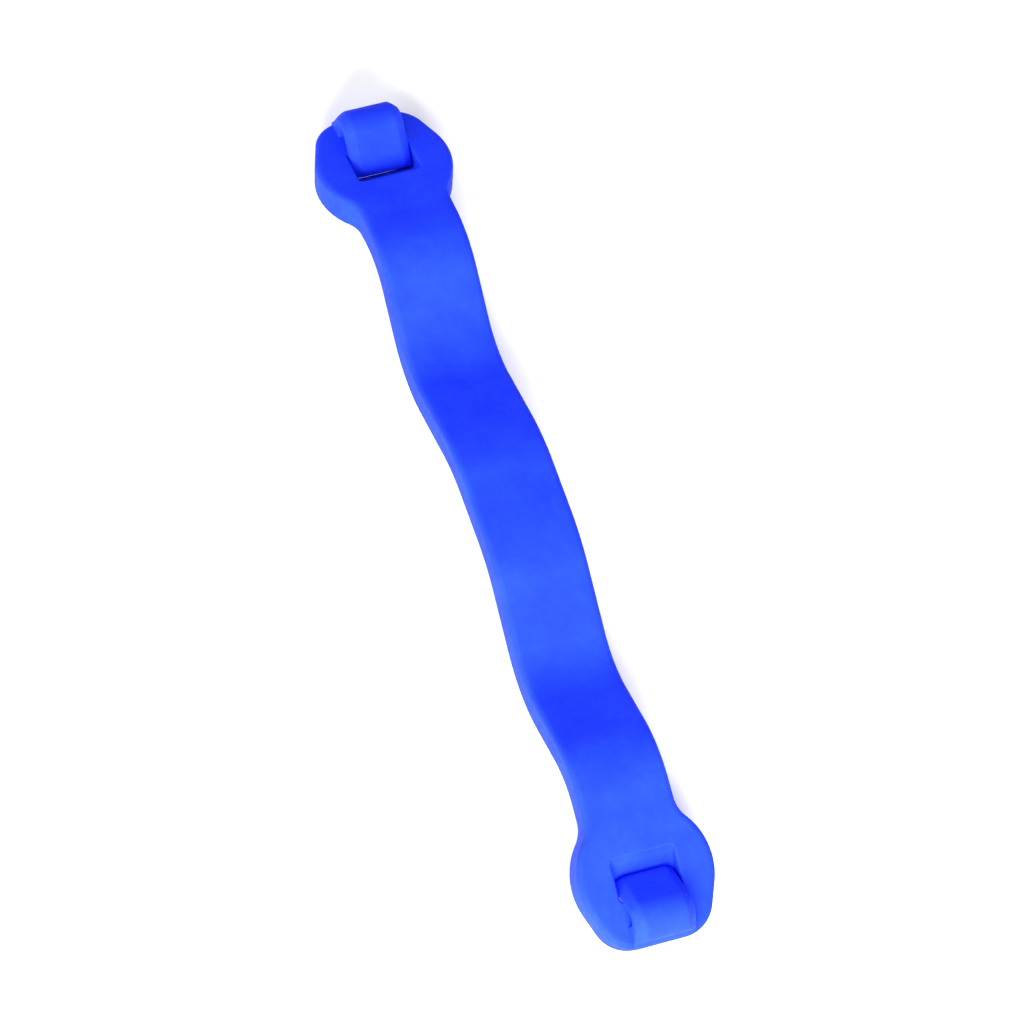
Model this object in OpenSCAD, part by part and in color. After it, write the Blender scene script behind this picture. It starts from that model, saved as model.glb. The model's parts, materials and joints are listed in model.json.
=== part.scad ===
// Woven string dampener: one flat elastomer strap that passes over and under eight racket
// strings, with a round pad at each end whose tongue hooks over the last string.
// +X runs along the strap, +Y along the strings and +Z is square to the string bed.
// The moulding is divided where it flexes: at each string that it bends over, and at the
// root of each tongue.

/* [Racket strings] */
// Diameter of a string
string_d = 1.3; // [1.1:0.05:1.4]
// Spacing of the two middle strings
centre_pitch = 10.8; // [9:0.1:13]
// Spacing from a middle string to the next one out
inner_pitch = 11.9; // [10:0.1:14]
// Spacing from that string to the second string from the end
outer_pitch = 11.8; // [10:0.1:14]
// Spacing from there to the string that the tongue holds
end_pitch = 13.8; // [13.5:0.1:16]

/* [Strap] */
// Width of the strap
strap_w = 9.2; // [8:0.1:9.6]
// Thickness of the strap
strap_t = 3.1; // [2.4:0.1:3.2]

/* [End pads] */
// Diameter of the round pad
pad_d = 13.6; // [13:0.1:14.5]
// Radius of the two outer corners, which square the round off
corner_r = 3.6; // [3:0.1:4]
// Distance between the centres of the outer corners
corner_pitch = 4.4; // [3.6:0.1:5.2]
// Thickness of the pad
pad_t = 3.4; // [3:0.1:3.8]
// How far the pad reaches past the string that it holds
rim_reach = 3.05; // [2.8:0.05:3.2]
// Radius where the strap's edge runs into the pad
neck_fillet = 3; // [2:0.5:4]

/* [Tongues] */
// Width of the tongue
tongue_w = 6.3; // [5.5:0.1:7]
// How far the arch reaches past the string's axis
arch_reach = 2.55; // [2.45:0.05:2.75]
// Radius of the arch that crosses the string
arch_r = 2.2; // [2.1:0.05:2.3]
// Slope of the leg that comes down from the arch
leg_slope = 50; // [45:1:54]
// Length of the leg from the string's axis to its tip
leg_len = 3.9; // [3.6:0.1:4.2]
// Gap between the string and the channel that holds it
string_gap = 0.05; // [0.02:0.01:0.1]

/* [Flexures] */
// Gap between the faces of a flexure
flex_gap = 0.05; // [0.03:0.01:0.1]
// Distance from a flexure's axis to the edges of its hollow face
horn = 1.3; // [1.2:0.05:1.4]

/* [Hidden] */
$fn = 64;
strap_blue = [0.16, 0.32, 0.95];
pad_blue = [0.18, 0.38, 0.96];
tongue_blue = [0.3, 0.42, 0.98];
reach = 0.5;                                  // how far a cutter runs past a face
fit_gap = 0.05;                               // gap between a tongue's root and its pad
window_gap = 0.2;                             // gap on each side of the tongue in its window

// Distance of each string from the middle of the strap
x_centre = centre_pitch / 2;
x_inner = x_centre + inner_pitch;
x_outer = x_inner + outer_pitch;
x_end = x_outer + end_pitch;

// The strap's middle plane stands this far above or below the string that it bends over
crest = (string_d + strap_t) / 2;
inner_slope = atan2(2 * crest, inner_pitch);
outer_slope = atan2(2 * crest, outer_pitch);

// The end string lies in a channel on top of the pad
channel_r = string_d / 2 + string_gap;
pad_drop = channel_r + pad_t / 2;             // string axis down to the pad's middle plane
end_tilt = atan2(crest, end_pitch) + asin(pad_drop / norm([crest, end_pitch]));
neck_run = end_pitch * cos(end_tilt) + crest * sin(end_tilt);

// Height of the string plane above the lowest edge of the pads
string_z = rim_reach * sin(end_tilt) + (channel_r + pad_t) * cos(end_tilt);

// Places along the pad, outward from the string that it holds
pad_x = rim_reach - pad_d / 2;                // centre of the round
fillet_x = pad_x - sqrt(pow(pad_d / 2 + neck_fillet, 2) - pow(strap_w / 2 + neck_fillet, 2));
fillet_y = strap_w / 2 + neck_fillet;
root_run = 0.1;                               // straight stretch before the round and fillets
pad_start = min(fillet_x, pad_x - pad_d / 2) - root_run;
corner_x = rim_reach - corner_r;
corner_y = corner_pitch / 2;
// The ways that the outline looks where the round takes over from the fillet, and where it
// gives way to the straight edge that joins it to the corner
round_facing = atan2(fillet_y, fillet_x - pad_x);
corner_facing = atan2(corner_y, corner_x - pad_x)
                + acos((pad_d / 2 - corner_r) / norm([corner_x - pad_x, corner_y]));
arc_step = 7.5;                               // degrees between points along the outline

// Tongue: its column leans in from the rim, and the leg runs down into the window
column_in = channel_r + fit_gap;              // inner face of the column
knuckle_r = (rim_reach - column_in) / 2;
hinge = [rim_reach - knuckle_r, -channel_r - fit_gap];
arch_x = arch_reach - arch_r;
leg_rise = 0.15;                              // the leg's underside stands off the channel
leg_in = channel_r + leg_rise;                // under the leg, from the string's axis
leg_facing = 90 + leg_slope;                  // the way that the leg's outer face looks
leg_out = arch_r + arch_x * cos(leg_facing);
tip_r = (leg_out - leg_in) / 2;
leg_tip = (leg_in + tip_r) * [cos(leg_facing), sin(leg_facing)]
          - leg_len * [cos(leg_slope), sin(leg_slope)];
lip_angle = 15;                               // where the channel's arc ends, above level
lip_run = leg_in / sin(leg_slope + lip_angle);

// Window in the pad for the tongue's tip
window_w = tongue_w + 2 * window_gap;
window_out = -1.3;                            // edge beside the string
window_in = -6.0;                             // far edge at the pad's face
window_foot = -2.7;                           // far edge at the pad's back
root_w = tongue_w + 2 * fit_gap;

// A stretch of strap from the flexure at the origin to the one at x = length
module link(length) {
    difference() {
        union() {
            translate([horn, -strap_w / 2, -strap_t / 2])
                cube([length - horn, strap_w, strap_t]);
            translate([length, 0, 0]) across(strap_w, strap_t / 2);
        }
        across(strap_w + 2 * reach, strap_t / 2 + flex_gap);
    }
}

// A cylinder along Y
module across(width, r) {
    rotate([90, 0, 0]) cylinder(h = width, r = r, center = true);
}

// A section in X and Z, drawn out along Y
module section(width) {
    rotate([90, 0, 0]) linear_extrude(height = width, center = true) children();
}

// The two halves: outward is +X on the right, and the left is the same half turned round
module side(left) {
    rotate([0, 0, left ? 180 : 0]) children();
}

// The frame of an end: origin on the axis of the string that it holds, X out along the pad
module at_end(left) {
    side(left) translate([x_end, 0, string_z]) rotate([0, end_tilt, 0]) children();
}

module centre_strap() {
    color(strap_blue)
        translate([0, 0, string_z + crest]) {
            translate([-x_centre, -strap_w / 2, -strap_t / 2])
                cube([centre_pitch, strap_w, strap_t]);
            for (x = [-x_centre, x_centre]) translate([x, 0, 0]) across(strap_w, strap_t / 2);
        }
}

module inner_strap(left) {
    color(strap_blue)
        side(left) translate([x_centre, 0, string_z + crest])
            rotate([0, inner_slope, 0]) link(norm([inner_pitch, 2 * crest]));
}

module outer_strap(left) {
    color(strap_blue)
        side(left) translate([x_inner, 0, string_z - crest])
            rotate([0, -outer_slope, 0]) link(norm([outer_pitch, 2 * crest]));
}

// The strap's last stretch, from the flexure over the second string to the pad
module neck(left) {
    color(strap_blue)
        at_end(left) translate([-neck_run, 0, -pad_drop])
            difference() {
                translate([horn, -strap_w / 2, -strap_t / 2])
                    cube([neck_run + pad_start - horn, strap_w, strap_t]);
                across(strap_w + 2 * reach, strap_t / 2 + flex_gap);
            }
}

// Points along an arc about c, no more than arc_step apart
function arc(c, r, from, to) =
    let (steps = ceil(abs(to - from) / arc_step))
    [for (i = [0:steps]) let (a = from + (to - from) * i / steps) c + r * [cos(a), sin(a)]];

// One side of the pad's outline: the strap's edge, the fillet, the round and the corner. The
// round starts one step on, because the fillet ends where the round begins.
pad_edge = concat([[pad_start, strap_w / 2]],
                  arc([fillet_x, fillet_y], neck_fillet, -90, round_facing - 180),
                  arc([pad_x, 0], pad_d / 2, round_facing - arc_step, corner_facing),
                  arc([corner_x, corner_y], corner_r, corner_facing, 0));

module pad_outline() {
    last = len(pad_edge) - 1;
    polygon(concat(pad_edge, [for (i = [last:-1:0]) [pad_edge[i][0], -pad_edge[i][1]]]));
}

module end_pad(left) {
    color(pad_blue)
        at_end(left) difference() {
            translate([0, 0, -channel_r - pad_t])
                linear_extrude(height = pad_t) pad_outline();
            // window for the tip of the tongue
            section(window_w)
                polygon([[window_out, -channel_r + reach], [window_in, -channel_r + reach],
                         [window_in, -channel_r], [window_foot, -channel_r - pad_t],
                         [window_foot, -channel_r - pad_t - reach],
                         [window_out, -channel_r - pad_t - reach]]);
            // hollow that the foot of the tongue turns in
            translate([hinge[0], 0, hinge[1]]) {
                across(root_w, knuckle_r + flex_gap);
                translate([0, -root_w / 2, -knuckle_r - flex_gap])
                    cube([knuckle_r + reach, root_w, 2 * knuckle_r]);
            }
        }
}

// Section of the tongue: up the column, over the arch, down the leg, round its tip, back
// under it to the lip and in to the string's axis, where the channel is cut
module tongue_section() {
    difference() {
        polygon(concat([[0, 0], [column_in, 0], [column_in, hinge[1]], [rim_reach, hinge[1]]],
                       arc([arch_x, 0], arch_r, 0, leg_facing),
                       arc(leg_tip, tip_r, leg_facing, leg_facing + 180),
                       [lip_run * [-cos(lip_angle), sin(lip_angle)]]));
        circle(r = channel_r);
    }
}

module tongue(left) {
    color(tongue_blue)
        at_end(left) {
            section(tongue_w) tongue_section();
            translate([hinge[0], 0, hinge[1]]) across(tongue_w, knuckle_r);
        }
}

centre_strap();
inner_strap(true);  // left_inner_strap
outer_strap(true);  // left_outer_strap
neck(true);  // left_neck
end_pad(true);  // left_end_pad
tongue(true);  // left_tongue
inner_strap(false);  // right_inner_strap
outer_strap(false);  // right_outer_strap
neck(false);  // right_neck
end_pad(false);  // right_end_pad
tongue(false);  // right_tongue
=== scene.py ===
import json
import math

import bmesh
import bpy
import numpy as np
from mathutils import Matrix, Vector


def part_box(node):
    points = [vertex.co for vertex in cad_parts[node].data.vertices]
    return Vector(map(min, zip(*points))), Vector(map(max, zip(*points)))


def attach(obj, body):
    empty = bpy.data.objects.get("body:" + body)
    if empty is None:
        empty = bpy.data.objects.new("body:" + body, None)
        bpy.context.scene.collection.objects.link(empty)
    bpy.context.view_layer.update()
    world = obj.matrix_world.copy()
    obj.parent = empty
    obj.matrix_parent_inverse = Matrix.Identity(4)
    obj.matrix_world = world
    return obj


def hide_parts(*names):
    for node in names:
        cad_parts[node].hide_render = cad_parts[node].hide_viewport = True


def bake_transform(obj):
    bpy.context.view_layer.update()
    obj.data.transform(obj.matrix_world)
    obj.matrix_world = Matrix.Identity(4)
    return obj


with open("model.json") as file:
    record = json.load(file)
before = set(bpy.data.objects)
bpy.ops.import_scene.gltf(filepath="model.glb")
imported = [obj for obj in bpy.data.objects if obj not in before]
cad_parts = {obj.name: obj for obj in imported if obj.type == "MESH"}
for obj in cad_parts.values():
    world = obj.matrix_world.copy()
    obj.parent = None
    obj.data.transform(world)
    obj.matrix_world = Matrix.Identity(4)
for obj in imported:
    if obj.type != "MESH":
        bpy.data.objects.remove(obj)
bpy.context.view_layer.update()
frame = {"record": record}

# Lengths are in millimetres until a mesh is made.
MM = 0.001

# ---------------------------------------------------------------- sizes from the frame
record = frame["record"]
joints = {j["name"]: j for j in record["behaviour"]["joints"]}
mounts = {m["name"]: m for m in record["mounts"]}


def joint_at(name):
    return np.array(joints[name]["pos_m"]) / MM


def box_size(node):
    low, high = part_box(node)
    return (Vector(high) - Vector(low)) / MM


string_z = mounts["right_string_channel"]["pos_m"][2] / MM
end_x = mounts["right_string_channel"]["pos_m"][0] / MM
pad_back = mounts["right_pad_back"]["axis"]
tilt = math.atan2(abs(pad_back[0]), -pad_back[2])     # how steeply an end runs down
inner_x, _, crest_z = joint_at("right_inner_flex")
middle_x, _, trough_z = joint_at("right_middle_flex")
outer_x = joint_at("right_outer_flex")[0]
strap_half = box_size("centre_strap").y / 2
strap_thick = box_size("centre_strap").z
pad_radius = box_size("right_end_pad").y / 2
tongue_half = box_size("right_tongue").y / 2

# ---------------------------------------------------------------- shape of the moulding
CHANNEL = mounts["right_string_channel"]["dims"]["r_mm"]
EDGE_ACROSS = 0.62         # rounding of the moulding's long edges, across the face
EDGE_DOWN = 0.5            # and down the side
RIDGE = 0.02               # parting line left by the mould, round the middle of each side
CROWN = 0.05               # how far the strap's face rises in its middle

# the strap's middle line runs straight from corner to corner, and each corner is turned at a
# radius, so a corner lies a little past the bend that the line makes
INNER_BEND = 14            # radii of the three bends on either side
MIDDLE_BEND = 9
OUTER_BEND = 8
CREST_OVER = 0.15          # the inner corner, above the joint's axis
TROUGH_UNDER = 0.35        # the middle corner, below the joint's axis
OUTER_CREST_BACK = 0.9     # the outer corner, from the joint's axis up the slope of the end
CENTRE_HALF = 2.2          # half the length of the flat stretch in the middle

# an end is drawn in a frame of its own, on the axis of the string that it holds
RIM = 3.05                 # outer face of the end, past the string's axis
PAD_THICK = 3.4
PAD_X = RIM - pad_radius   # centre of the pad's round
PAD_MID = -CHANNEL - PAD_THICK / 2
NECK_FILLET = 3.0
NECK_RUN = 0.1             # length of plain strap ahead of the pad's round and its fillets
NECK_FADE = 3.4            # length over which the strap thickens to the pad
CORNER = 3.6               # radius of the two corners that square off the pad's outer end
CORNER_Y = 2.2
FILLET_X = PAD_X - math.sqrt((pad_radius + NECK_FILLET) ** 2 - (strap_half + NECK_FILLET) ** 2)
NECK_X = min(FILLET_X, PAD_X - pad_radius) - NECK_RUN

# the window narrows towards the pad's back, as its inner wall slopes out under the tongue's leg
WINDOW_HALF = tongue_half + 0.05
WINDOW_OUT = -1.6
WINDOW_IN = -5.7           # its inner end at the pad's face
WINDOW_FOOT = -2.15        # and at the pad's back
WINDOW_CORNER = 0.45
WINDOW_LIP = 0.25          # rounding of its edge at the face
WINDOW_EDGE = 0.1          # and at the back

# the tongue rises from the rim, arches over the string and runs down into the window
ROOT_DEPTH = 0.9           # how far its root reaches down into the pad
ROOT_INSET = 0.12          # how far the root's outer face lies inside the rim
ROOT_TOP = 0.54            # where the bending root ends and the arch begins
STRING_EASE = 0.02         # the root's inner face, clear of the channel's wall
ARCH_REACH = 2.55          # how far the arch reaches out past the string's axis
ARCH = 2.2                 # radius of its outer face
ARCH_X = ARCH_REACH - ARCH
LEG_FACING = math.radians(140)      # the way that the leg's outer face looks
LEG_LENGTH = 3.85
LEG_UNDER = 0.85           # the leg's underside, from the string's axis
LEG_EASE = 1.5             # length over which the underside draws away from the string
TIP = 0.35                 # rounding of the leg's end, in its width
NARROWING = 0.06           # how much narrower the arch is than the root, on each side
ROOT_BEVEL = 0.12          # bevel of the tongue's outer edges where it leaves the pad
ARCH_BEVEL = 0.84          # and on the arch and the leg
BEVEL_RISE = 2.2           # height over which the bevel grows
TIP_ANGLES = np.radians([20, 38, 54, 68, 79, 86])    # the sections that round off the leg's end

# how finely the skin is divided
PATH_STEP = 0.35           # between sections on a bend; they lie three times as far on a straight
QUARTER = np.radians(np.linspace(0, 90, 7))
STRAP_FACE = np.linspace(-1, 1, 15)[1:-1]            # across the strap's face, between its edges
SIDE_LEVELS = np.array([0.7, 0.35, 0.1, 0, -0.1, -0.35, -0.7])   # shares of a side's half height
FACE_SHARES = np.linspace(0, 1, 14)[1:-1]            # across the pad's faces, window to rim
PAD_POINTS = 288
PAD_CENTRE = np.array([-2.0, 0.0])   # the rings of the pad's faces run round this point


def smoothstep(t):
    t = np.clip(t, 0, 1)
    return t * t * (3 - 2 * t)


def row_sign(left):
    return -1 if left else 1


def mirror_row(left):
    """A stretch drawn on the right, turned half round to the left if it belongs there."""
    return lambda p: p * np.array([row_sign(left), row_sign(left), 1])


def seat_to_row(points, left):
    """From the frame of an end, on the axis of the string that it holds, to the row frame."""
    p = np.asarray(points, float)
    c, s = math.cos(tilt), math.sin(tilt)
    x = end_x + p[:, 0] * c + p[:, 2] * s
    z = string_z - p[:, 0] * s + p[:, 2] * c
    return np.stack([row_sign(left) * x, row_sign(left) * p[:, 1], z], axis=1)


# ---------------------------------------------------------------- meshes
def finish_mesh(name, verts, faces, sharp_rings=()):
    """A smooth-shaded mesh object, in metres. The edges of each ring of vertices stay sharp."""
    mesh = bpy.data.meshes.new(name)
    mesh.from_pydata([tuple(v) for v in np.asarray(verts) * MM], [], faces)
    bm = bmesh.new()
    bm.from_mesh(mesh)
    bmesh.ops.recalc_face_normals(bm, faces=bm.faces)
    bm.verts.ensure_lookup_table()
    for face in bm.faces:
        face.smooth = True
    for ring in sharp_rings:
        members = set(ring)
        for edge in bm.edges:
            if edge.verts[0].index in members and edge.verts[1].index in members:
                edge.smooth = False
    bm.to_mesh(mesh)
    bm.free()
    keep_rest_places(mesh)
    piece = bpy.data.objects.new(name, mesh)
    bpy.context.collection.objects.link(piece)
    return piece


def keep_rest_places(mesh):
    """Each point's place at rest, so that the grain stays put when the moulding bends."""
    places = np.array([v.co for v in mesh.vertices], np.float32)
    attribute = mesh.attributes.get("rest_place")
    if attribute is None:
        attribute = mesh.attributes.new("rest_place", "FLOAT_VECTOR", "POINT")
    attribute.data.foreach_set("vector", places.ravel())


def tube_faces(rings, around):
    faces = [(r * around + i, r * around + (i + 1) % around,
              (r + 1) * around + (i + 1) % around, (r + 1) * around + i)
             for r in range(rings - 1) for i in range(around)]
    faces.append(tuple(range(around))[::-1])
    faces.append(tuple((rings - 1) * around + i for i in range(around)))
    return faces


def sweep(name, stations, to_row):
    """Joins sections along a path. A station is (x, z, slope, section), and a section is a
    closed list of (width, height). The edges at both ends stay sharp."""
    verts = []
    for x, z, slope, outline in stations:
        width, height = outline[:, 0], outline[:, 1]
        verts.append(np.stack([x - height * math.sin(slope), width,
                               z + height * math.cos(slope)], axis=1))
    around, rings = len(verts[0]), len(verts)
    ends = [range(around), range((rings - 1) * around, rings * around)]
    return finish_mesh(name, to_row(np.concatenate(verts)), tube_faces(rings, around), ends)


# ---------------------------------------------------------------- the strap
def strap_section():
    """Points round the strap's section, with rounded corners and a line along each side."""
    half_thick = strap_thick / 2
    out = strap_half + RIDGE * (SIDE_LEVELS == 0)
    side = (half_thick - EDGE_DOWN) * SIDE_LEVELS[::-1]
    corner_w = strap_half - EDGE_ACROSS * (1 - np.cos(QUARTER))
    corner_h = half_thick - EDGE_DOWN * (1 - np.sin(QUARTER))
    flat = STRAP_FACE * (strap_half - EDGE_ACROSS)
    width = np.concatenate([out, corner_w, flat[::-1], -corner_w[::-1]])
    height = np.concatenate([side, corner_h, np.full(len(flat), half_thick), corner_h[::-1]])
    half = np.column_stack([width, height])
    points = np.concatenate([half, -half])
    inside = np.clip(1 - (points[:, 0] / strap_half) ** 2, 0, 1)
    points[:, 1] += CROWN * inside * np.sign(points[:, 1])
    return points


def rounded_path(corners, radii):
    """(x, z, slope) along straight runs whose corners are turned at the given radii."""
    places = []

    def run(a, b, slope):
        count = max(1, int(round(np.linalg.norm(b - a) / (3 * PATH_STEP))))
        places.extend((*(a + (b - a) * i / count), slope) for i in range(count))

    at = corners[0]
    for k in range(1, len(corners) - 1):
        radius = radii[k - 1]
        before, after = corners[k] - corners[k - 1], corners[k + 1] - corners[k]
        a0, a1 = math.atan2(before[1], before[0]), math.atan2(after[1], after[0])
        turn = a1 - a0
        cut = radius * math.tan(abs(turn) / 2)
        start = corners[k] - cut * before / np.linalg.norm(before)
        run(at, start, a0)
        way = math.copysign(1, turn)
        centre = start + radius * way * np.array([-math.sin(a0), math.cos(a0)])
        count = max(4, int(round(radius * abs(turn) / PATH_STEP)))
        for i in range(count):
            a = a0 + turn * i / count
            places.append((*(centre + radius * way * np.array([math.sin(a), -math.cos(a)])), a))
        at = centre + radius * way * np.array([math.sin(a1), -math.cos(a1)])
    last_slope = math.atan2(*(corners[-1] - at)[::-1])
    run(at, corners[-1], last_slope)
    places.append((*corners[-1], last_slope))
    return places


pad_run = np.array([math.cos(tilt), -math.sin(tilt)])
seam_end = seat_to_row([(NECK_X, 0, PAD_MID)], False)[0][[0, 2]]
crest_corner = np.array([outer_x, crest_z]) - OUTER_CREST_BACK * pad_run
trough_corner = np.array([middle_x, trough_z - TROUGH_UNDER])
inner_corner = np.array([inner_x, crest_z + CREST_OVER])
seam_centre = np.array([CENTRE_HALF, crest_z + CREST_OVER])
seam_inner = (inner_corner + trough_corner) / 2
seam_outer = (trough_corner + crest_corner) / 2


def centre_piece(name):
    """The flat stretch over the two middle strings."""
    outline = strap_section()
    stations = [(x, seam_centre[1], 0.0, outline) for x in (-CENTRE_HALF, 0.0, CENTRE_HALF)]
    return sweep(name, stations, mirror_row(False))


def strap_piece(name, first_seam, corner, last_seam, radius, left):
    """A stretch between two seams, with one bend in it."""
    outline = strap_section()
    stations = [(x, z, slope, outline)
                for x, z, slope in rounded_path([first_seam, corner, last_seam], [radius])]
    return sweep(name, stations, mirror_row(left))


def bend_between(piece):
    """Bakes a stretch's placement into its points."""
    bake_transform(piece)


# ---------------------------------------------------------------- the end pads
def reach(inside, furthest):
    """How far each ray from PAD_CENTRE runs before it leaves a shape, by halving."""
    angles = 2 * math.pi * (np.arange(PAD_POINTS) + 0.5) / PAD_POINTS
    rays = np.stack([np.cos(angles), np.sin(angles)], axis=1)
    low, high = np.zeros(PAD_POINTS), np.full(PAD_POINTS, float(furthest))
    for _ in range(40):
        middle = (low + high) / 2
        p = PAD_CENTRE + rays * middle[:, None]
        is_in = inside(p[:, 0], np.abs(p[:, 1]))
        low, high = np.where(is_in, middle, low), np.where(is_in, high, middle)
    return PAD_CENTRE + rays * low[:, None]


def in_pad(x, y):
    """The pad's outline: its round, its squared-off end, and the strap running in."""
    fillet_y = strap_half + NECK_FILLET
    round_part = np.hypot(x - PAD_X, y) < pad_radius
    strap_part = (x < PAD_X) & (y < strap_half)
    strap_part &= np.hypot(np.minimum(x - NECK_X, 0), y) < strap_half
    fillet = ((x > FILLET_X) & (x < PAD_X) & (y < fillet_y)
              & (np.hypot(x - FILLET_X, y - fillet_y) > NECK_FILLET)
              & ((y - fillet_y) * (PAD_X - FILLET_X) < -(x - FILLET_X) * fillet_y))
    return round_part | strap_part | fillet | in_squared_end(x, y)


def in_squared_end(x, y):
    """The outer end that the tongue stands on: a rounded corner on each side, and the
    straight edge that joins it to the round."""
    run, rise = RIM - CORNER - PAD_X, CORNER_Y
    facing = math.atan2(rise, run) + math.acos((pad_radius - CORNER) / math.hypot(run, rise))
    across, along = math.cos(facing), math.sin(facing)
    out = (x - PAD_X) * across + y * along
    past = (x - PAD_X) * along - y * across
    joined = (out > 0) & (out < pad_radius) & (past > 0) & (past < run * along - rise * across)
    end = (x > PAD_X) & (x < RIM) & (y < CORNER_Y)
    return joined | end | (np.hypot(x - (RIM - CORNER), y - CORNER_Y) < CORNER)


def window_loop(inner_end):
    """The window's outline at one level, given how far in its inner end lies there."""
    def inside(x, y):
        mid, half = (inner_end + WINDOW_OUT) / 2, (WINDOW_OUT - inner_end) / 2
        dx = np.abs(x - mid) - half + WINDOW_CORNER
        dy = y - WINDOW_HALF + WINDOW_CORNER
        return np.hypot(np.maximum(dx, 0), np.maximum(dy, 0)) < WINDOW_CORNER
    return reach(inside, 8)


def outward(loop):
    """The outward normal at each point of a loop that runs anticlockwise."""
    along = np.roll(loop, -1, 0) - np.roll(loop, 1, 0)
    normal = np.stack([along[:, 1], -along[:, 0]], axis=1)
    return normal / np.linalg.norm(normal, axis=1)[:, None]


def pad_rings():
    """Closed rings that run down the rim, in under the pad, up the window and out over the top."""
    rim = reach(in_pad, 16)
    rim_out = outward(rim)
    rim_in = rim - rim_out * EDGE_ACROSS
    foot, mouth = window_loop(WINDOW_FOOT), window_loop(WINDOW_IN)
    foot_out, mouth_out = outward(foot), outward(mouth)
    foot_edge, mouth_edge = foot + foot_out * WINDOW_EDGE, mouth + mouth_out * WINDOW_LIP
    half = PAD_THICK / 2
    rings = []

    def add(loop, height):
        rings.append(np.column_stack([loop, np.full(PAD_POINTS, PAD_MID + height)]))

    for a in QUARTER[::-1]:
        add(rim - rim_out * EDGE_ACROSS * (1 - math.cos(a)), half - EDGE_DOWN * (1 - math.sin(a)))
    for level in SIDE_LEVELS:
        add(rim + rim_out * (RIDGE if level == 0 else 0), level * (half - EDGE_DOWN))
    for a in QUARTER:
        add(rim - rim_out * EDGE_ACROSS * (1 - math.cos(a)), EDGE_DOWN * (1 - math.sin(a)) - half)
    for t in FACE_SHARES:
        add(rim_in + (foot_edge - rim_in) * t, -half)
    for a in QUARTER[::-1]:
        add(foot + foot_out * WINDOW_EDGE * (1 - math.cos(a)),
            WINDOW_EDGE * (1 - math.sin(a)) - half)
    for t in FACE_SHARES:
        add(window_loop(WINDOW_FOOT + (WINDOW_IN - WINDOW_FOOT) * t),
            WINDOW_EDGE - half + (2 * half - WINDOW_EDGE - WINDOW_LIP) * t)
    for a in QUARTER:
        add(mouth + mouth_out * WINDOW_LIP * (1 - math.cos(a)),
            half - WINDOW_LIP * (1 - math.sin(a)))
    for t in FACE_SHARES:
        add(mouth_edge + (rim_in - mouth_edge) * t, half)
    return np.array(rings)


def thin_towards_strap(points):
    """Draws the pad's faces in to the strap's thickness, and its crown, at the neck."""
    share = smoothstep((points[:, 0] - NECK_X) / NECK_FADE)
    scale = strap_thick / PAD_THICK + (1 - strap_thick / PAD_THICK) * share
    height = (points[:, 2] - PAD_MID) * scale
    inside = np.clip(1 - (points[:, 1] / strap_half) ** 2, 0, 1)
    height += CROWN * inside * np.sign(height) * (1 - share)
    points[:, 2] = PAD_MID + height


def cut_at_neck(mesh):
    """Cuts the pad off square where the strap begins, and closes it with a sharp-edged face."""
    bm = bmesh.new()
    bm.from_mesh(mesh)
    bmesh.ops.bisect_plane(bm, geom=bm.verts[:] + bm.edges[:] + bm.faces[:], dist=1e-7,
                           plane_co=(NECK_X * MM, 0, 0), plane_no=(-1, 0, 0), clear_outer=True)
    cut = [e for e in bm.edges if e.is_boundary]
    bmesh.ops.contextual_create(bm, geom=cut)
    for edge in cut:
        edge.smooth = False
    bmesh.ops.recalc_face_normals(bm, faces=bm.faces)
    bm.to_mesh(mesh)
    bm.free()


def pad_piece(name, left):
    rings = pad_rings()
    count = len(rings)
    points = rings.reshape(-1, 3)
    thin_towards_strap(points)
    faces = [(r * PAD_POINTS + i, r * PAD_POINTS + (i + 1) % PAD_POINTS,
              (r + 1) % count * PAD_POINTS + (i + 1) % PAD_POINTS,
              (r + 1) % count * PAD_POINTS + i)
             for r in range(count) for i in range(PAD_POINTS)]
    piece = finish_mesh(name, points, faces)
    mesh = piece.data
    cut_at_neck(mesh)
    placed = seat_to_row(np.array([v.co for v in mesh.vertices]) / MM, left) * MM
    mesh.vertices.foreach_set("co", placed.astype(np.float32).ravel())
    keep_rest_places(mesh)
    mesh.update()
    return piece


# ---------------------------------------------------------------- the tongues
def rounded_loop(corners, radii, along=3):
    """Points round a closed outline, its corners turned and its sides divided evenly."""
    corners = np.array(corners, float)
    points = []
    for k, corner in enumerate(corners):
        following = (k + 1) % len(corners)
        before, after = corners[k - 1] - corner, corners[following] - corner
        start = corner + before / np.linalg.norm(before) * radii[k]
        end = corner + after / np.linalg.norm(after) * radii[k]
        for t in np.linspace(0, 1, 6):
            points.append((1 - t) ** 2 * start + 2 * t * (1 - t) * corner + t * t * end)
        stop = corners[following] - after / np.linalg.norm(after) * radii[following]
        points.extend(end + (stop - end) * i / (along + 1) for i in range(1, along + 1))
    return np.array(points)


def tongue_section(half_width, half_thick, bevel):
    """The tongue's section: full width next to the string, bevelled along its outer edges."""
    low = -half_thick
    shoulder = half_thick - min(0.85 * bevel, 1.2 * half_thick)
    corners = [(half_width, low), (half_width, shoulder), (half_width - bevel, half_thick),
               (bevel - half_width, half_thick), (-half_width, shoulder), (-half_width, low)]
    small, soft = 0.25 * half_thick, max(0.06, 0.3 * bevel)
    return rounded_loop(corners, (small, soft, soft, soft, soft, small))


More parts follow.
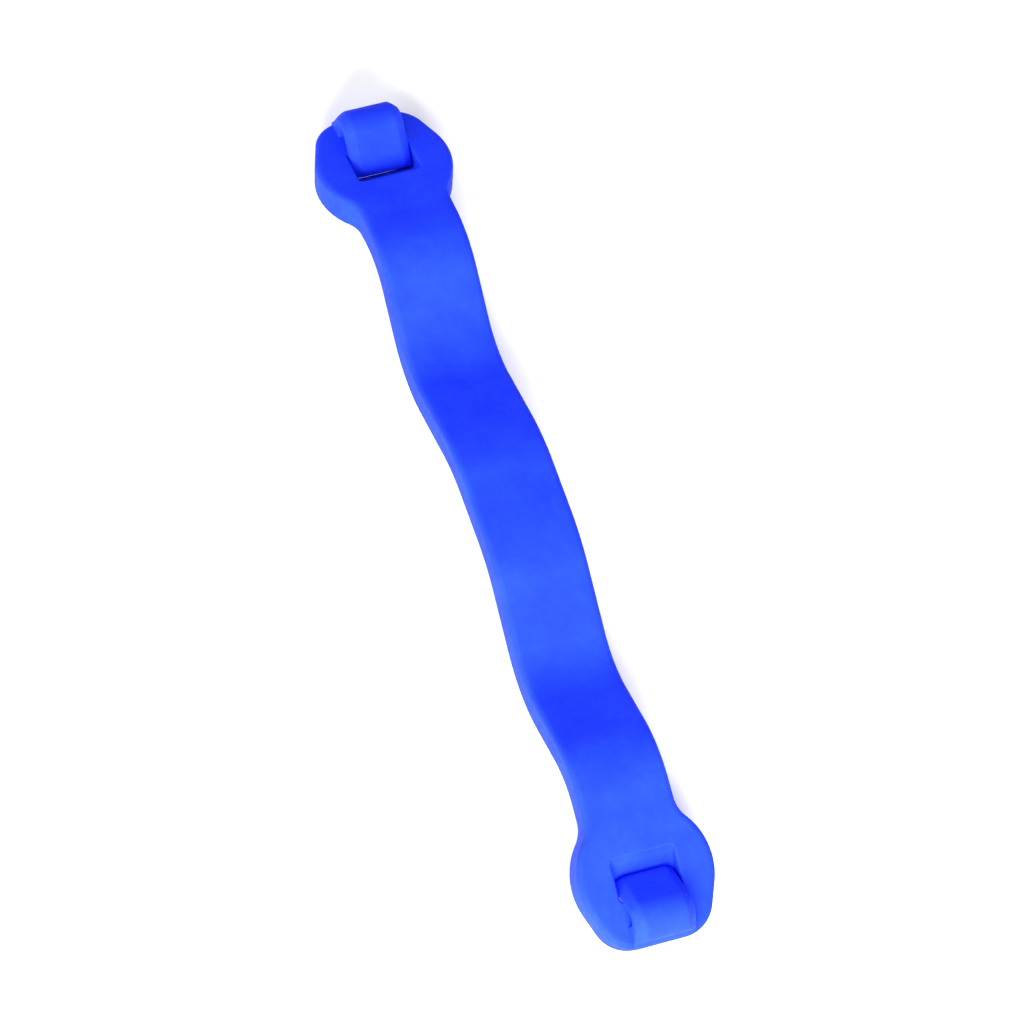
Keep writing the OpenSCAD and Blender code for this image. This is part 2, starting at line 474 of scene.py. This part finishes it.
def tongue_faces():
    """(outer point, inner point) pairs: up the rim, over the string and down the leg. The
    second result is the way down the leg."""
    lean = RIM - ROOT_INSET - ARCH_REACH
    pairs = []
    for z in np.linspace(-CHANNEL - ROOT_DEPTH, 0, 16)[:-1]:
        outer = (ARCH_REACH + lean * smoothstep(-z / CHANNEL), z)
        pairs.append((outer, (CHANNEL + STRING_EASE, z)))
    for a in np.linspace(0, LEG_FACING, 26):
        ray = np.array([math.cos(a), math.sin(a)])
        pairs.append((np.array([ARCH_X, 0]) + ARCH * ray, CHANNEL * ray))
    facing = np.array([math.cos(LEG_FACING), math.sin(LEG_FACING)])
    down = np.array([-facing[1], facing[0]])
    arch_end = pairs[-1][0]
    for s in np.linspace(0, LEG_LENGTH, 12)[1:]:
        under = CHANNEL + (LEG_UNDER - CHANNEL) * smoothstep(s / LEG_EASE)
        pairs.append((arch_end + down * s, facing * under + down * (arch_end @ down + s)))
    return pairs, down


def tongue_pieces(side, left):
    """The root, which stays in place, and the arch and leg, which swing with the tongue's body."""
    pairs, down = tongue_faces()
    stations = []
    for outer, inner in pairs:
        outer, inner = np.array(outer, float), np.array(inner, float)
        middle, span = (outer + inner) / 2, outer - inner
        half_thick = np.linalg.norm(span) / 2
        slope = math.atan2(-span[0], span[1])
        rise = smoothstep((outer[1] + CHANNEL) / BEVEL_RISE) if outer[0] > 0 else 1.0
        half_width = tongue_half - NARROWING * rise
        bevel = ROOT_BEVEL + (ARCH_BEVEL - ROOT_BEVEL) * rise
        stations.append((*middle, slope, tongue_section(half_width, half_thick, bevel)))
    # the leg's end carries on from the last of these, and rounds off
    for a in TIP_ANGLES:
        x, z = middle + down * half_thick * math.sin(a)
        outline = tongue_section(half_width - TIP * (1 - math.cos(a)),
                                 half_thick * math.cos(a), bevel)
        stations.append((x, z, slope, outline))
    split = next(i for i, station in enumerate(stations) if station[1] > ROOT_TOP)
    root = sweep(f"{side}_tongue_root", stations[:split + 1], lambda p: seat_to_row(p, left))
    hook = sweep(f"{side}_tongue_hook", stations[split:], lambda p: seat_to_row(p, left))
    return root, hook


# ---------------------------------------------------------------- the material
def noise(tree, place, scale, detail, roughness=0.5):
    node = tree.nodes.new("ShaderNodeTexNoise")
    node.inputs["Scale"].default_value = scale
    node.inputs["Detail"].default_value = detail
    node.inputs["Roughness"].default_value = roughness
    tree.links.new(place, node.inputs["Vector"])
    return node.outputs["Fac"]


def ramp(tree, source, low, high, a, b):
    """The source's low to high becomes a to b."""
    node = tree.nodes.new("ShaderNodeMapRange")
    for name, value in (("From Min", low), ("From Max", high), ("To Min", a), ("To Max", b)):
        node.inputs[name].default_value = value
    tree.links.new(source, node.inputs["Value"])
    return node.outputs["Result"]


def colour_mix(tree, factor, a, b):
    """From a to b. Colour a is a colour or another node's output."""
    node = tree.nodes.new("ShaderNodeMix")
    node.data_type = "RGBA"
    tree.links.new(factor, node.inputs["Factor"])
    if isinstance(a, tuple):
        node.inputs["A"].default_value = (*a, 1)
    else:
        tree.links.new(a, node.inputs["A"])
    node.inputs["B"].default_value = (*b, 1)
    return node.outputs["Result"]


def bump(tree, height, strength, distance):
    node = tree.nodes.new("ShaderNodeBump")
    node.inputs["Strength"].default_value = strength
    node.inputs["Distance"].default_value = distance
    tree.links.new(height, node.inputs["Height"])
    return node


def silicone():
    """Blue rubber with pigment clouds a few millimetres across, a fine mottle like the mould's
    grain, and a surface that swells and is finely grained."""
    material = bpy.data.materials.new("moulded_silicone")
    material.use_nodes = True
    tree = material.node_tree
    shader = tree.nodes["Principled BSDF"]
    rest_place = tree.nodes.new("ShaderNodeAttribute")
    rest_place.attribute_name = "rest_place"
    place = rest_place.outputs["Vector"]

    clouds = ramp(tree, noise(tree, place, scale=220, detail=3), 0.35, 0.65, 0.0, 1.0)
    specks = noise(tree, place, scale=1500, detail=4, roughness=0.65)
    mottle = ramp(tree, specks, 0.3, 0.7, 0.0, 1.0)
    base = colour_mix(tree, clouds, (0.008, 0.031, 0.80), (0.011, 0.041, 0.86))
    darker = ramp(tree, mottle, 0.0, 1.0, 0.0, 0.35)
    colour = colour_mix(tree, darker, base, (0.007, 0.022, 0.70))
    tree.links.new(colour, shader.inputs["Base Color"])
    tree.links.new(ramp(tree, mottle, 0.0, 1.0, 0.55, 0.7), shader.inputs["Roughness"])

    fine_waves = noise(tree, place, scale=5200, detail=2)
    broad_waves = noise(tree, place, scale=420, detail=2)
    grain = bump(tree, fine_waves, strength=0.25, distance=0.00006)
    swell = bump(tree, broad_waves, strength=0.35, distance=0.00025)
    tree.links.new(swell.outputs["Normal"], grain.inputs["Normal"])
    tree.links.new(grain.outputs["Normal"], shader.inputs["Normal"])
    shader.inputs["Specular IOR Level"].default_value = 0.06
    return material


# ---------------------------------------------------------------- the pieces
rubber = silicone()


def add(piece, *nodes):
    """Gives a piece its material, and hides the CAD nodes that it stands for."""
    piece.data.materials.append(rubber)
    if nodes:
        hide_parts(*nodes)


centre = centre_piece("centre_strap_skin")
add(centre, "centre_strap")
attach(centre, "centre")

for side, left in (("left", True), ("right", False)):
    inner = strap_piece(f"{side}_inner_skin", seam_centre, inner_corner, seam_inner,
                        INNER_BEND, left)
    add(inner, f"{side}_inner_strap")
    bend_between(inner)

    outer = strap_piece(f"{side}_outer_skin", seam_inner, trough_corner, seam_outer,
                        MIDDLE_BEND, left)
    add(outer, f"{side}_outer_strap")
    bend_between(outer)

    neck = strap_piece(f"{side}_neck_skin", seam_outer, crest_corner, seam_end,
                       OUTER_BEND, left)
    add(neck, f"{side}_neck")
    bend_between(neck)

    pad = pad_piece(f"{side}_pad_skin", left)
    add(pad, f"{side}_end_pad")
    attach(pad, f"{side}_end")

    root, hook = tongue_pieces(side, left)
    add(root)
    add(hook, f"{side}_tongue")
    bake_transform(root)
    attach(hook, f"{side}_tongue")


# ---------------------------------------------------------------- floor, light and camera
def plain_material(name, colour, roughness):
    material = bpy.data.materials.new(name)
    material.use_nodes = True
    shader = material.node_tree.nodes["Principled BSDF"]
    shader.inputs["Base Color"].default_value = (*colour, 1)
    shader.inputs["Roughness"].default_value = roughness
    return material


def add_floor(reach_m=3.0):
    mesh = bpy.data.meshes.new("floor")
    corners = [(-reach_m, -reach_m, 0), (reach_m, -reach_m, 0),
               (reach_m, reach_m, 0), (-reach_m, reach_m, 0)]
    mesh.from_pydata(corners, [], [(0, 1, 2, 3)])
    floor = bpy.data.objects.new("floor", mesh)
    bpy.context.collection.objects.link(floor)
    mesh.materials.append(plain_material("pale_floor", (0.92, 0.92, 0.92), 0.8))


def add_light(name, direction, distance, size, energy):
    """A round soft light that faces the origin, and that the camera doesn't see."""
    light = bpy.data.lights.new(name, "AREA")
    light.shape = "DISK"
    light.size = size
    light.energy = energy
    lamp = bpy.data.objects.new(name, light)
    bpy.context.collection.objects.link(lamp)
    lamp.visible_camera = False
    aim = Vector(direction).normalized()
    lamp.location = aim * distance
    lamp.rotation_mode = "QUATERNION"
    lamp.rotation_quaternion = aim.to_track_quat("Z", "Y")


def add_camera(lens=255.5, distance=0.7):
    """Looks at the object's middle from the photograph's side, with a long lens."""
    right = Vector((0.3230, 0.9345, 0.1495)).normalized()
    back = Vector((0.3595, -0.2673, 0.8940)).normalized()
    right = (right - back * right.dot(back)).normalized()
    up = back.cross(right)
    camera_data = bpy.data.cameras.new("camera")
    camera_data.lens = lens
    camera_data.sensor_width = 36
    camera = bpy.data.objects.new("camera", camera_data)
    bpy.context.collection.objects.link(camera)
    at = Vector((0, 0, string_z * MM)) + back * distance
    turned = Matrix((right, up, back)).transposed().to_4x4()
    camera.matrix_world = Matrix.Translation(at) @ turned
    bpy.context.scene.camera = camera


def add_world(strength):
    world = bpy.data.worlds.new("studio")
    world.use_nodes = True
    sky = world.node_tree.nodes["Background"]
    sky.inputs["Color"].default_value = (1.0, 1.0, 1.0, 1)
    sky.inputs["Strength"].default_value = strength
    bpy.context.scene.world = world


add_floor()
add_world(0.72)
add_light("key", (0.85, -0.30, 0.42), distance=0.35, size=0.28, energy=4.8)
add_light("side", (0.10, -0.95, 0.30), distance=1.0, size=0.7, energy=12)
add_camera()
bpy.context.scene.view_settings.view_transform = "Standard"
